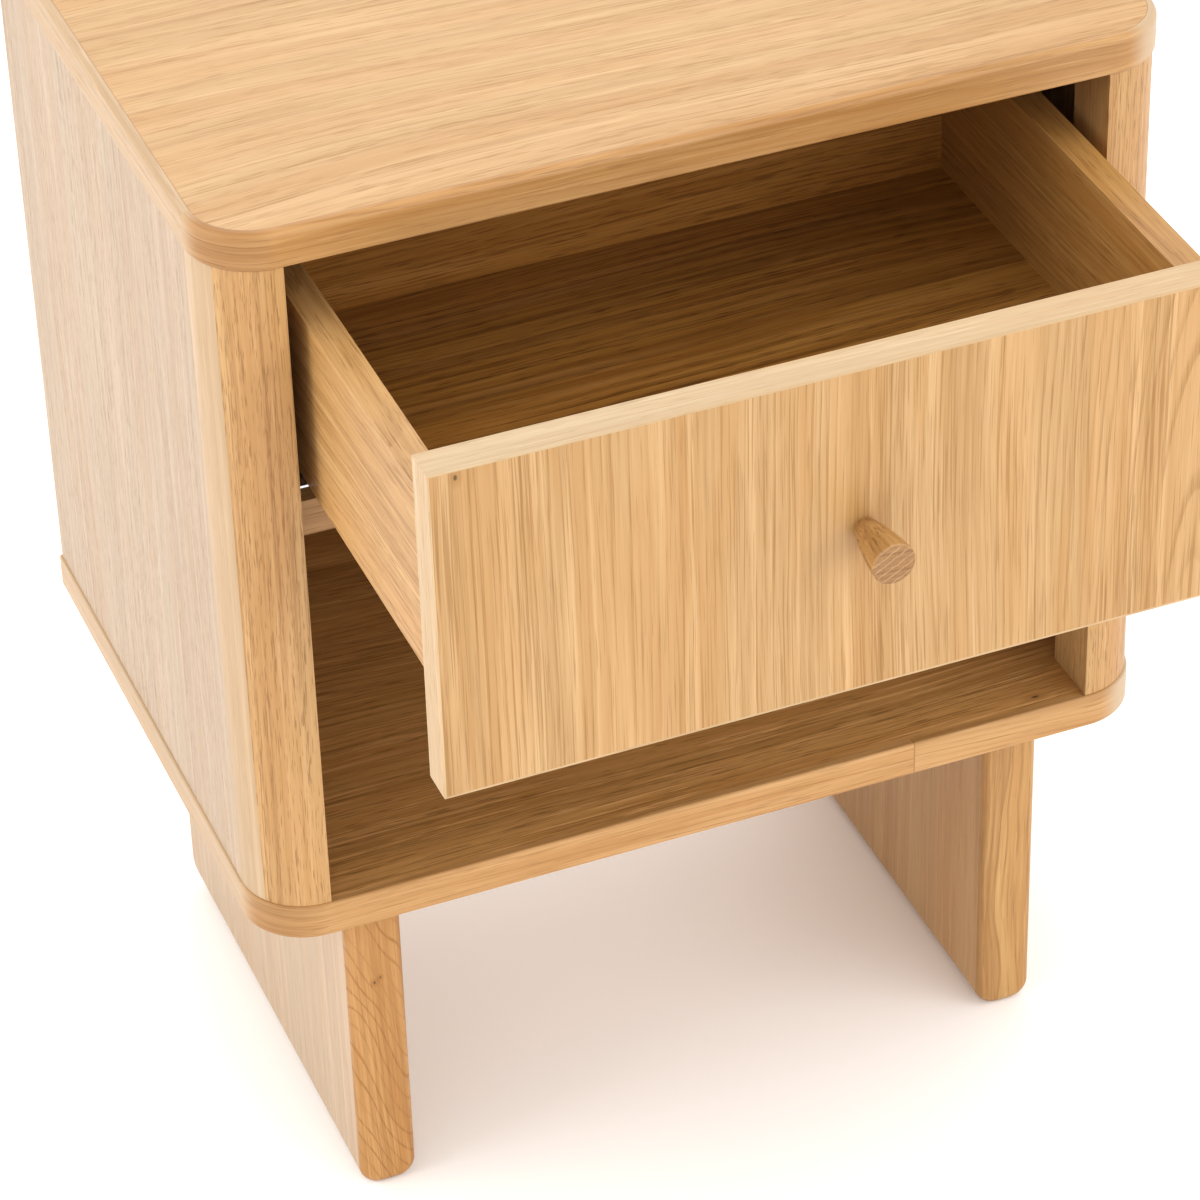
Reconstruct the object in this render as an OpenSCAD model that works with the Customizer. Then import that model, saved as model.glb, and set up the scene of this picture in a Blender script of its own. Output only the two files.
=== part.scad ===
// Oak nightstand: one drawer on undermount runners above an open niche, two slab legs.
// Millimetres. Front faces -Y, floor at z = 0, origin under the middle of the bounding box.

/* [Cabinet] */
// Width across the top and bottom boards
width = 500; // [460:5:560]
// Depth of the top and bottom boards
depth = 350; // [345:5:400]
// Height of the top face above the floor
height = 622; // [600:1:680]
// Thickness of the top and bottom boards
board = 20; // [18:1:22]
// Plan radius of the two front corners of the boards
corner_radius = 35; // [30:1:40]
// Width of the solid edging glued round each board
edging = 4.5; // [4:0.5:8]
// Round-over on the upper arris of the top board
top_round = 4; // [1:0.5:4]
// Round-over on the remaining board arrises
small_round = 1.5; // [0.5:0.5:3]
// Distance from the middle plane to the butt joint in the bottom board's front edging
butt_joint = 112; // [0:1:180]
// How far the walls stand back from the edge of the boards
wall_inset = 1.3; // [0.5:0.1:3]
// Thickness of the side panels
side_thickness = 19; // [18:0.5:22]
// Width and depth of the solid front posts
post_size = 36.4; // [32:0.2:42]
// Thickness of the outer lamella of each post
post_lamella = 6; // [4:0.5:8]
// Thickness of the back panel
back_thickness = 8; // [5:0.5:10]
// Distance from the rear edge of the boards to the back panel
back_recess = 6; // [4:1:12]

/* [Shelf] */
// Height of the shelf's upper face above the floor
shelf_height = 454; // [440:1:465]
// Thickness of the shelf
shelf_thickness = 20; // [18:1:22]
// Distance from the front plane to the shelf's solid front strip
shelf_setback = 24; // [22:1:34]
// Depth of the solid strip along the front of the shelf
shelf_strip = 14; // [8:1:20]

/* [Legs] */
// Height of the legs
leg_height = 204; // [150:1:235]
// Thickness of each slab leg
leg_thickness = 31; // [29:1:40]
// Distance from the outer face of a leg to the edge of the boards
leg_inset = 51.5; // [20:0.5:90]
// Distance from the front and rear planes to the legs
leg_setback = 27; // [15:1:50]
// Thickness of the solid edging on the front and rear of each leg
leg_edging = 6; // [6:0.5:14]
// Rounding of the long lower arrises of the legs
foot_round = 11; // [8:1:14]
// Rounding of the rear lower corner of each leg
foot_rear_round = 30; // [12:1:40]
// Rounding of the upright arrises and of the front lower rim of the legs
leg_arris = 5.5; // [1:0.5:5.5]

/* [Drawer] */
// How far the drawer stands open
pull_out = 179; // [0:1:280]
// Gap between each end of the drawer front and the post
front_gap = 3.4; // [2:0.1:5]
// Gap between the drawer front and the top board
front_top_gap = 6.3; // [3:0.1:10]
// Height of the drawer front
front_height = 177.7; // [170:0.1:190]
// Thickness of the drawer front
front_thickness = 19; // [18:0.5:21]
// Thickness of the edging round the drawer front
front_edging = 1; // [1:0.5:4]
// Gap between each drawer side and the post
box_gap = 9.8; // [8:0.2:14]
// Thickness of the drawer sides
box_side = 15.5; // [12:0.5:16]
// Thickness of the drawer back
box_back = 16; // [12:0.5:18]
// Distance from the top of the drawer front down to the top of the sides
box_drop = 29.5; // [10:0.5:50]
// Height of the drawer sides
box_height = 101; // [80:1:110]
// Length of the drawer sides
box_length = 310; // [300:1:310]
// Thickness of the drawer bottom
bottom_thickness = 6; // [4:0.5:8]
// Height of the drawer bottom above the lower edge of the sides
bottom_rise = 12; // [11.5:0.5:14]

/* [Knob] */
// Length of the knob
knob_length = 32.5; // [20:0.5:40]
// Radius of the knob where it meets the drawer front
knob_base_radius = 5.3; // [4.5:0.1:7]
// Radius of the knob's flat end
knob_end_radius = 10.8; // [8:0.1:14]
// Chamfer round the knob's flat end
knob_chamfer = 0.6; // [0.3:0.1:1.5]
// Radius of the knob's swelling flank, seen from the side
knob_flank_radius = 144; // [110:2:300]
// Height of the knob above the middle of the drawer front
knob_rise = 2.5; // [0:0.5:30]

/* [Runners] */
// Length of the runners
runner_length = 300; // [280:5:300]
// Wall thickness of the runner profiles
runner_wall = 1.5; // [1:0.1:1.6]
// Width of the runner channels
runner_width = 21; // [20:1:24]

/* [Hidden] */
$fn = 64;

oak_top = [0.86, 0.68, 0.46];
oak_side = [0.86, 0.72, 0.56];
oak_solid = [0.84, 0.64, 0.40];
oak_pale = [0.89, 0.75, 0.58];
oak_box = [0.78, 0.62, 0.44];
beech = [0.85, 0.70, 0.50];
steel = [0.72, 0.73, 0.75];
nylon = [0.55, 0.56, 0.58];

// Outer planes. The bounding box takes in the open drawer and its knob.
half_width = width / 2;
rear = (depth + pull_out + knob_length - wall_inset) / 2;
front = rear - depth;
wall_x = half_width - wall_inset;
wall_front = front + wall_inset;
wall_rear = rear - wall_inset;
side_inner = wall_x - side_thickness;
post_inner = wall_x - post_size;
post_rear = wall_front + post_size;
ceiling = height - board;
floor_top = leg_height + board;
back_front = rear - back_recess - back_thickness;
shelf_under = shelf_height - shelf_thickness;
shelf_front = front + shelf_setback;

// Loose fit of pins in holes and of tongues in grooves.
pin_fit = 0.05;
groove_depth = 6;

// Wooden dowels of the cabinet, 12 mm of each in the top or bottom board.
dowel_radius = 4;
dowel_in_board = 12;
dowel_in_wall = 22;
side_dowel_x = (wall_x + side_inner) / 2;
side_dowel_y = [front + 62, front + depth / 2, rear - 42];
post_dowel_x = post_inner + 14;
post_dowel_y = wall_front + 20;
shelf_dowel_y = [front + 70, front + depth / 2, rear - 60];
shelf_dowel_z = shelf_height - shelf_thickness / 2;
shelf_dowel_in_side = 10;

// Legs
leg_outer = half_width - leg_inset;
leg_inner = leg_outer - leg_thickness;
leg_mid = (leg_outer + leg_inner) / 2;
leg_front = front + leg_setback;
leg_rear = rear - leg_setback;
leg_length = leg_rear - leg_front;
leg_dowel_radius = 5;
leg_dowel_depth = 32;
leg_dowel_y = [leg_front + 45, (leg_front + leg_rear) / 2, leg_rear - 45];

// Drawer, in the open position
closed_front = wall_front;
drawer_front = closed_front - pull_out;
front_back = drawer_front + front_thickness;
front_half = post_inner - front_gap;
front_top = ceiling - front_top_gap;
front_low = front_top - front_height;
box_outer = post_inner - box_gap;
box_inner = box_outer - box_side;
box_top = front_top - box_drop;
box_low = box_top - box_height;
box_rear = front_back + box_length;
box_back_inner = box_rear - box_back;
bottom_under = box_low + bottom_rise;
bottom_top = bottom_under + bottom_thickness;
bottom_groove = 5;
box_dowel_radius = 3;
box_dowel_in_front = 10;
box_dowel_in_side = 20;
box_dowel_in_back = 20;
front_dowel_z = [box_low + 24, box_top - 18];
back_dowel_z = [bottom_top + 22, box_top - 18];
front_middle = (front_top + front_low) / 2;
knob_z = front_middle + knob_rise;

// Screws, all with a 4 mm shank
screw_radius = 2;
screw_head_radius = 4.2;
screw_head_height = 2.4;
recess_length = 5;
recess_width = 1;
recess_depth = 1.4;
knob_screw_in_knob = 15;

// Centre of the knob's flank arc, from its radius and its two end points
knob_flank_run = [knob_end_radius - knob_base_radius, knob_length - knob_chamfer];
knob_flank_chord = norm(knob_flank_run);
knob_flank_back = sqrt(pow(knob_flank_radius, 2) - pow(knob_flank_chord / 2, 2));
knob_flank_centre = [
    (knob_base_radius + knob_end_radius) / 2 - knob_flank_back * knob_flank_run[1] / knob_flank_chord,
    knob_flank_run[1] / 2 + knob_flank_back * knob_flank_run[0] / knob_flank_chord
];
knob_steps = 8;
function knob_flank_point(y) =
    [knob_flank_centre[0] + sqrt(pow(knob_flank_radius, 2) - pow(y - knob_flank_centre[1], 2)), y];

// Runner profiles, stacked between the shelf and the drawer bottom
runner_outer = box_inner - 0.5;
runner_inner = runner_outer - runner_width;
runner_mid = (runner_outer + runner_inner) / 2;
lip_width = 4;
channel_height = 9;
cabinet_low = shelf_height + 0.5;
flange_high = box_low - 0.8;
flange_low = flange_high - 1.2;
tab_thickness = 1.2;
tab_high = cabinet_low + 31;
middle_half = runner_width / 2 - runner_wall - 1;
middle_length = runner_length - 40;
middle_clear = 2.4;
middle_low = cabinet_low + runner_wall + middle_clear;
middle_high = bottom_under - runner_wall - middle_clear;
web_half = 1;
runner_start = front + 22;
middle_start = runner_start + 4 - pull_out / 2;
drawer_member_start = front_back + 1;
drawer_member_length = box_rear - drawer_member_start - 6;

// Packing strip that brings the runner out to the line of the posts
packer_low = shelf_height;
packer_height = 50;
packer_rear_gap = 6;
packer_rear = back_front - packer_rear_gap;
runner_screw_y = [runner_start + 60, runner_start + 160, runner_start + 262];
runner_screw_z = cabinet_low + 22;
runner_screw_length = 15;
packer_screw_y = [runner_start + 90, runner_start + 230];
packer_screw_z = shelf_height + 38;
packer_screw_length = 31;
countersink = 3;

// Locking clips under the front of the drawer
clip_width = 24;
clip_length = 40;
clip_height = 9;
clip_outer = runner_inner - 1;
clip_flange = 3;
clip_roof = 2.5;
clip_wall = 4;
clip_screw_length = 14;
clip_head_height = 1.2;
clip_head_radius = 3;
clip_screw_x = clip_outer - clip_width / 2;
clip_screw_z = bottom_under - clip_roof - clip_head_radius;

// ---------------------------------------------------------------- helpers

module slab(low, high) {
    translate(low)
        cube(high - low);
}

module left() {
    mirror([1, 0, 0])
        children();
}

module both() {
    children();
    left()
        children();
}

// Pin along X, Y or Z from its start point.
module pin_x(start, length, radius) {
    translate(start)
        rotate([0, 90, 0])
            cylinder(h = length, r = radius);
}

module pin_y(start, length, radius) {
    translate(start)
        rotate([-90, 0, 0])
            cylinder(h = length, r = radius);
}

module pin_z(start, length, radius) {
    translate(start)
        cylinder(h = length, r = radius);
}

// Screw with a flat head, pointing along +Z with the head below z = 0.
module screw(length) {
    cylinder(h = length, r = screw_radius);
    difference() {
        translate([0, 0, -screw_head_height])
            cylinder(h = screw_head_height, r = screw_head_radius);
        for (turn = [0, 90])
            rotate([0, 0, turn])
                translate([-recess_length / 2, -recess_width / 2, -screw_head_height - 1])
                    cube([recess_length, recess_width, recess_depth + 1]);
    }
}

// Countersunk screw, pointing along +Z with the top of its head at z = 0.
module sunk_screw(length) {
    difference() {
        union() {
            cylinder(h = length, r = screw_radius);
            cylinder(h = countersink, r1 = screw_head_radius, r2 = screw_radius);
        }
        for (turn = [0, 90])
            rotate([0, 0, turn])
                translate([-recess_length / 2, -recess_width / 2, -1])
                    cube([recess_length, recess_width, recess_depth + 1]);
    }
}

// Screw with a low narrow head for the clips.
module clip_screw(length) {
    cylinder(h = length, r = screw_radius);
    translate([0, 0, -clip_head_height])
        cylinder(h = clip_head_height, r = clip_head_radius);
}

// ---------------------------------------------------------------- top and bottom boards

// Cross-section of the edging: inner face on x = 0, outer face on x = edging.
module edging_profile(upper_round, lower_round) {
    difference() {
        square([edging, board]);
        translate([edging - upper_round, board - upper_round])
            difference() {
                square(upper_round + 1);
                circle(r = upper_round);
            }
        translate([edging - lower_round, lower_round])
            difference() {
                translate([0, -lower_round - 1])
                    square(lower_round + 1);
                circle(r = lower_round);
            }
    }
}

// Quarter of a round plate about the origin, filling the corner to -X and -Y.
module quarter(radius, thickness) {
    rotate([0, 0, 180])
        rotate_extrude(angle = 90)
            square([radius, thickness]);
}

// Board inside its edging, with two rounded front corners.
module board_core(z) {
    inner_x = half_width - edging;
    arc_x = half_width - corner_radius;
    arc_y = front + corner_radius;
    slab([-inner_x, arc_y, z], [inner_x, rear - edging, z + board]);
    slab([-arc_x, front + edging, z], [arc_x, arc_y, z + board]);
    both()
        translate([-arc_x, arc_y, z])
            quarter(corner_radius - edging, board);
}

// Edging across the front and round both corners.
module front_edging_band(z, upper_round, lower_round) {
    arc_x = half_width - corner_radius;
    translate([-arc_x, front + edging, z])
        rotate([90, 0, 90])
            linear_extrude(2 * arc_x)
                mirror([1, 0])
                    edging_profile(upper_round, lower_round);
    both()
        translate([-arc_x, front + corner_radius, z])
            rotate([0, 0, 180])
                rotate_extrude(angle = 90)
                    translate([corner_radius - edging, 0])
                        edging_profile(upper_round, lower_round);
}

// Edging along the right-hand end.
module end_edging_band(z, upper_round, lower_round) {
    translate([half_width - edging, rear, z])
        rotate([90, 0, 0])
            linear_extrude(depth - corner_radius)
                edging_profile(upper_round, lower_round);
}

// Edging along the rear, between the end edgings.
module rear_edging_band(z, upper_round, lower_round) {
    translate([-half_width + edging, rear - edging, z])
        rotate([90, 0, 90])
            linear_extrude(width - 2 * edging)
                edging_profile(upper_round, lower_round);
}

// Dowels that stand in the top and bottom boards at the walls.
module wall_dowels(start, length, fit) {
    both() {
        for (y = side_dowel_y)
            pin_z([side_dowel_x, y, start], length, dowel_radius + fit);
        pin_z([post_dowel_x, post_dowel_y, start], length, dowel_radius + fit);
    }
}

module back_groove() {
    slab([-side_inner - groove_depth - pin_fit, back_front - pin_fit,
            floor_top - groove_depth - pin_fit],
        [side_inner + groove_depth + pin_fit, back_front + back_thickness + pin_fit,
            ceiling + groove_depth + pin_fit]);
}

module top_panel() {
    color(oak_top)
        difference() {
            board_core(ceiling);
            wall_dowels(ceiling - 1, dowel_in_board + 1 + pin_fit, pin_fit);
            back_groove();
        }
}

module top_front_edging() {
    color(oak_solid)
        front_edging_band(ceiling, top_round, small_round);
}

module right_top_edging() {
    color(oak_solid)
        end_edging_band(ceiling, top_round, small_round);
}

module top_rear_edging() {
    color(oak_solid)
        rear_edging_band(ceiling, small_round, small_round);
}

module bottom_panel() {
    color(oak_top)
        difference() {
            board_core(leg_height);
            wall_dowels(floor_top - dowel_in_board - pin_fit, dowel_in_board + 1, pin_fit);
            back_groove();
            both()
                leg_pins(leg_height - 1, dowel_in_board + 1 + pin_fit, pin_fit);
        }
}

// The bottom board's front edging is two lengths that meet at the butt joint.
module long_bottom_front_edging() {
    color(oak_solid)
        intersection() {
            front_edging_band(leg_height, small_round, small_round);
            slab([-half_width - 1, front - 1, leg_height - 1],
                [butt_joint, rear, floor_top + 1]);
        }
}

module short_bottom_front_edging() {
    color(oak_solid)
        intersection() {
            front_edging_band(leg_height, small_round, small_round);
            slab([butt_joint, front - 1, leg_height - 1],
                [half_width + 1, rear, floor_top + 1]);
        }
}

module right_bottom_edging() {
    color(oak_solid)
        end_edging_band(leg_height, small_round, small_round);
}

module bottom_rear_edging() {
    color(oak_solid)
        rear_edging_band(leg_height, small_round, small_round);
}

// ---------------------------------------------------------------- walls

module right_side_panel() {
    color(oak_side)
        difference() {
            slab([side_inner, post_rear, floor_top], [wall_x, wall_rear, ceiling]);
            wall_dowels(floor_top - 1, dowel_in_wall + 1 + pin_fit, pin_fit);
            wall_dowels(ceiling - dowel_in_wall - pin_fit, dowel_in_wall + 1, pin_fit);
            back_groove();
            for (y = shelf_dowel_y)
                pin_x([side_inner - 1, y, shelf_dowel_z], shelf_dowel_in_side + 1 + pin_fit,
                    dowel_radius + pin_fit);
            for (y = packer_screw_y)
                pin_x([side_inner - 1, y, packer_screw_z],
                    packer_screw_length - (side_inner - post_inner) + 1 + pin_fit,
                    screw_radius + pin_fit);
        }
}

// Solid post with its outer front corner rounded to follow the boards.
module post_blank() {
    radius = corner_radius - wall_inset;
    arc_x = wall_x - radius;
    arc_y = wall_front + radius;
    tall = ceiling - floor_top;
    slab([post_inner, wall_front, floor_top], [arc_x, arc_y, ceiling]);
    slab([post_inner, arc_y, floor_top], [wall_x, post_rear, ceiling]);
    left()
        translate([-arc_x, arc_y, floor_top])
            quarter(radius, tall);
}

module right_post() {
    color(oak_solid)
        difference() {
            post_blank();
            slab([wall_x - post_lamella, wall_front - 1, floor_top - 1],
                [wall_x + 1, post_rear + 1, ceiling + 1]);
            wall_dowels(floor_top - 1, dowel_in_wall + 1 + pin_fit, pin_fit);
            wall_dowels(ceiling - dowel_in_wall - pin_fit, dowel_in_wall + 1, pin_fit);
        }
}

module right_post_lamella() {
    color(oak_pale)
        intersection() {
            post_blank();
            slab([wall_x - post_lamella, wall_front - 1, floor_top - 1],
                [wall_x + 1, post_rear + 1, ceiling + 1]);
        }
}

module back_panel() {
    color(oak_box)
        slab([-side_inner - groove_depth, back_front, floor_top - groove_depth],
            [side_inner + groove_depth, back_front + back_thickness, ceiling + groove_depth]);
}

module carcass_dowels() {
    color(beech) {
        wall_dowels(floor_top - dowel_in_board, dowel_in_board + dowel_in_wall, 0);
        wall_dowels(ceiling - dowel_in_wall, dowel_in_board + dowel_in_wall, 0);
    }
}

// ---------------------------------------------------------------- shelf and packers

module shelf_panel() {
    color(oak_box)
        difference() {
            slab([-side_inner, max(post_rear, shelf_front + shelf_strip), shelf_under],
                [side_inner, back_front, shelf_height]);
            both()
                for (y = shelf_dowel_y)
                    pin_x([side_inner - dowel_in_wall - pin_fit, y, shelf_dowel_z],
                        dowel_in_wall + 1, dowel_radius + pin_fit);
        }
}

module shelf_front_strip() {
    color(oak_solid)
        slab([-post_inner, shelf_front, shelf_under],
            [post_inner, max(post_rear, shelf_front + shelf_strip), shelf_height]);
}

module shelf_dowels() {
    color(beech)
        both()
            for (y = shelf_dowel_y)
                pin_x([side_inner - dowel_in_wall, y, shelf_dowel_z],
                    dowel_in_wall + shelf_dowel_in_side, dowel_radius);
}

module right_packer() {
    color(oak_box)
        difference() {
            slab([post_inner, post_rear, packer_low],
                [side_inner, packer_rear, packer_low + packer_height]);
            for (y = packer_screw_y) {
                pin_x([post_inner - 1, y, packer_screw_z], side_inner - post_inner + 2,
                    screw_radius + pin_fit);
                translate([post_inner, y, packer_screw_z])
                    rotate([0, 90, 0])
                        cylinder(h = countersink + pin_fit, r1 = screw_head_radius + pin_fit,
                            r2 = screw_radius + pin_fit);
            }
            for (y = runner_screw_y)
                pin_x([post_inner - 1, y, runner_screw_z], runner_screw_length + 1,
                    screw_radius + pin_fit);
        }
}

module packer_screws() {
    color(steel)
        both()
            for (y = packer_screw_y)
                translate([post_inner, y, packer_screw_z])
                    rotate([0, 90, 0])
                        sunk_screw(packer_screw_length);
}

// ---------------------------------------------------------------- legs

// Slab leg. The rim of its front face is rounded all the way round the foot.
module leg_blank() {
    intersection() {
        leg_side_view();
        union() {
            leg_above_foot();
            leg_foot_middle();
            leg_foot_corner(leg_outer - foot_round, 0);
            leg_foot_corner(leg_inner + foot_round, 90);
        }
    }
}

module leg_side_view() {
    translate([leg_inner - 1, leg_front - 1, 0])
        rotate([90, 0, 90])
            linear_extrude(leg_thickness + 2)
                difference() {
                    square([leg_length + 1, leg_height]);
                    translate([leg_length + 1, 0])
                        corner_cut(foot_rear_round, 90);
                }
}

module leg_above_foot() {
    translate([leg_inner, leg_front, foot_round])
        linear_extrude(leg_height - foot_round)
            difference() {
                square([leg_thickness, leg_length]);
                corner_cut(leg_arris, 0);
                translate([leg_thickness, 0])
                    corner_cut(leg_arris, 90);
                translate([0, leg_length])
                    corner_cut(leg_arris, 270);
                translate([leg_thickness, leg_length])
                    corner_cut(leg_arris, 180);
            }
}

module leg_foot_middle() {
    translate([leg_inner + foot_round, leg_front, 0])
        rotate([90, 0, 90])
            linear_extrude(leg_thickness - 2 * foot_round)
                difference() {
                    square([leg_length, foot_round]);
                    corner_cut(leg_arris, 0);
                }
}

// Quarter-round lower corner of the leg about the line x, z = foot_round.
module leg_foot_corner(x, turn) {
    translate([x, leg_front, foot_round])
        rotate([-90, 0, 0])
            rotate([0, 0, turn])
                rotate_extrude(angle = 90)
                    difference() {
                        square([foot_round, leg_length]);
                        translate([foot_round, 0])
                            corner_cut(leg_arris, 90);
                    }
}

// What is cut from a square corner at the origin to round it.
module corner_cut(radius, turn) {
    rotate(turn)
        difference() {
            translate([-1, -1])
                square(radius + 1);
            translate([radius, radius])
                circle(r = radius);
        }
}

module leg_pins(start, length, fit) {
    for (y = leg_dowel_y)
        pin_z([leg_mid, y, start], length, leg_dowel_radius + fit);
}

module leg_part(from, to) {
    intersection() {
        leg_blank();
        slab([leg_inner - 1, from, -1], [leg_outer + 1, to, leg_height + 1]);
    }
}

module right_leg_panel() {
    color(oak_side)
        difference() {
            leg_part(leg_front + leg_edging, leg_rear - leg_edging);
            leg_pins(leg_height - leg_dowel_depth - pin_fit, leg_dowel_depth + 1, pin_fit);
        }
}

module right_leg_front_edging() {
    color(oak_solid)
        leg_part(leg_front - 1, leg_front + leg_edging);
}

module right_leg_rear_edging() {
    color(oak_solid)
        leg_part(leg_rear - leg_edging, leg_rear + 1);
}

module leg_dowels() {
    color(beech)
        both()
            leg_pins(leg_height - leg_dowel_depth, leg_dowel_depth + dowel_in_board, 0);
}

// ---------------------------------------------------------------- runners

// Channel with inward lips, open upwards, its base on z = 0.
module channel_profile() {
    square([runner_width, runner_wall]);
    square([runner_wall, channel_height]);
    translate([runner_width - runner_wall, 0])
        square([runner_wall, channel_height]);
    translate([0, channel_height - runner_wall])
        square([lip_width, runner_wall]);
    translate([runner_width - lip_width, channel_height - runner_wall])
        square([lip_width, runner_wall]);
}

module along_y(start, length) {
    translate([0, start + length, 0])
        rotate([90, 0, 0])
            linear_extrude(length)
                children();
}

module right_cabinet_member() {
    color(steel)
        difference() {
            union() {
                along_y(runner_start, runner_length)
                    translate([runner_inner, cabinet_low])
                        channel_profile();
                slab([runner_outer - runner_wall, runner_start, flange_low],
                    [post_inner, runner_start + runner_length, flange_high]);
                slab([post_inner - tab_thickness, runner_start, flange_low],
                    [post_inner, runner_start + runner_length, tab_high]);
            }
            for (y = runner_screw_y)
                pin_x([post_inner - tab_thickness - 1, y, runner_screw_z], tab_thickness + 2,
                    screw_radius + pin_fit);
        }
}

module runner_screws() {
    color(steel)
        both()
            for (y = runner_screw_y)
                translate([post_inner - tab_thickness, y, runner_screw_z])
                    rotate([0, 90, 0])
                        screw(runner_screw_length);
}

module right_middle_member() {
    color(steel)
        along_y(middle_start, middle_length)
            translate([runner_mid, 0]) {
                translate([-middle_half, middle_low])
                    square([2 * middle_half, runner_wall]);
                translate([-middle_half, middle_high - runner_wall])
                    square([2 * middle_half, runner_wall]);
                translate([-web_half, middle_low])
                    square([2 * web_half, middle_high - middle_low]);
            }
}

module right_drawer_member() {
    color(steel)
        along_y(drawer_member_start, drawer_member_length)
            translate([runner_inner, bottom_under])
                mirror([0, 1])
                    channel_profile();
}

// ---------------------------------------------------------------- drawer

module drawer_front_panel() {
    color(oak_side)
        difference() {
            slab([-front_half + front_edging, drawer_front, front_low + front_edging],
                [front_half - front_edging, front_back, front_top - front_edging]);
            pin_y([0, drawer_front - 1, knob_z], front_thickness + 2, screw_radius + pin_fit);
            both()
                for (z = front_dowel_z)
                    pin_y([box_outer - box_side / 2, front_back - box_dowel_in_front - pin_fit, z],
                        box_dowel_in_front + 1, box_dowel_radius + pin_fit);
            both()
                pin_y([clip_screw_x, front_back + clip_flange - clip_screw_length - pin_fit,
                        clip_screw_z],
                    clip_screw_length, screw_radius + pin_fit);
        }
}

// Mitred edging strip along the +X end of a front of the given half sizes.
module mitred_strip(half_x, half_z) {
    translate([0, front_back, front_middle])
        rotate([90, 0, 0])
            linear_extrude(front_thickness)
                polygon([
                    [half_x, -half_z],
                    [half_x, half_z],
                    [half_x - front_edging, half_z - front_edging],
                    [half_x - front_edging, -half_z + front_edging]
                ]);
}

module long_strip(side) {
    translate([0, front_back, front_middle])
        rotate([90, 0, 0])
            linear_extrude(front_thickness)
                polygon([
                    [-front_half, side * front_height / 2],
                    [front_half, side * front_height / 2],
                    [front_half - front_edging, side * (front_height / 2 - front_edging)],
                    [-front_half + front_edging, side * (front_height / 2 - front_edging)]
                ]);
}

module drawer_front_top_edging() {
    color(oak_pale)
        long_strip(1);
}

module drawer_front_bottom_edging() {
    color(oak_pale)
        long_strip(-1);
}

module drawer_front_right_edging() {
    color(oak_pale)
        mitred_strip(front_half, front_height / 2);
}

module box_dowels(fit) {
    both() {
        for (z = front_dowel_z)
            pin_y([box_outer - box_side / 2, front_back - box_dowel_in_front - fit, z],
                box_dowel_in_front + box_dowel_in_side + 2 * fit, box_dowel_radius + fit);
        for (z = back_dowel_z)
            pin_x([box_inner - box_dowel_in_back - fit, box_back_inner + box_back / 2, z],
                box_dowel_in_back + box_dowel_in_front + 2 * fit, box_dowel_radius + fit);
    }
}

module drawer_bottom_board(fit) {
    slab([-box_inner - bottom_groove - fit, front_back, bottom_under - fit],
        [box_inner + bottom_groove + fit, box_back_inner + bottom_groove + fit, bottom_top + fit]);
}

module drawer_right_side() {
    color(oak_box)
        difference() {
            slab([box_inner, front_back, box_low], [box_outer, box_rear, box_top]);
            drawer_bottom_board(pin_fit);
            box_dowels(pin_fit);
        }
}

module drawer_back() {
    color(oak_box)
        difference() {
            slab([-box_inner, box_back_inner, box_low], [box_inner, box_rear, box_top]);
            drawer_bottom_board(pin_fit);
            box_dowels(pin_fit);
            both()
                slab([runner_inner - 1, box_back_inner - 1, box_low - 1],
                    [box_inner + 1, box_rear + 1, bottom_under]);
        }
}

module drawer_bottom() {
    color(oak_box)
        drawer_bottom_board(0);
}

module drawer_dowels() {
    color(beech)
        box_dowels(0);
}

// Clip that locks the drawer to its runner, with a flange against the drawer front.
module right_clip() {
    color(nylon)
        difference() {
            union() {
                slab([clip_outer - clip_width, front_back, bottom_under - clip_height],
                    [clip_outer, front_back + clip_flange, bottom_under]);
                slab([clip_outer - clip_width, front_back, bottom_under - clip_roof],
                    [clip_outer, front_back + clip_length, bottom_under]);
                slab([clip_outer - clip_wall, front_back, bottom_under - clip_height],
                    [clip_outer, front_back + clip_length, bottom_under]);
            }
            pin_y([clip_screw_x, front_back - 1, clip_screw_z], clip_flange + 2,
                screw_radius + pin_fit);
        }
}

module clip_screws() {
    color(steel)
        both()
            translate([clip_screw_x, front_back + clip_flange, clip_screw_z])
                rotate([90, 0, 0])
                    clip_screw(clip_screw_length);
}

// ---------------------------------------------------------------- knob

// Half section of the knob: its swelling flank is an arc of short straight steps.
module knob_section() {
    polygon(concat(
        [[0, 0]],
        [for (i = [0:knob_steps]) knob_flank_point(knob_flank_run[1] * i / knob_steps)],
        [
            [knob_end_radius - knob_chamfer, knob_length],
            [0, knob_length]
        ]));
}

module knob() {
    color(oak_solid)
        translate([0, drawer_front, knob_z])
            rotate([90, 0, 0])
                difference() {
                    rotate_extrude()
                        knob_section();
                    translate([0, 0, -1])
                        cylinder(h = knob_screw_in_knob + 1 + pin_fit, r = screw_radius + pin_fit);
                }
}

module knob_screw() {
    color(steel)
        translate([0, front_back, knob_z])
            rotate([90, 0, 0])
                screw(front_thickness + knob_screw_in_knob);
}

// ---------------------------------------------------------------- assembly

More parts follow.
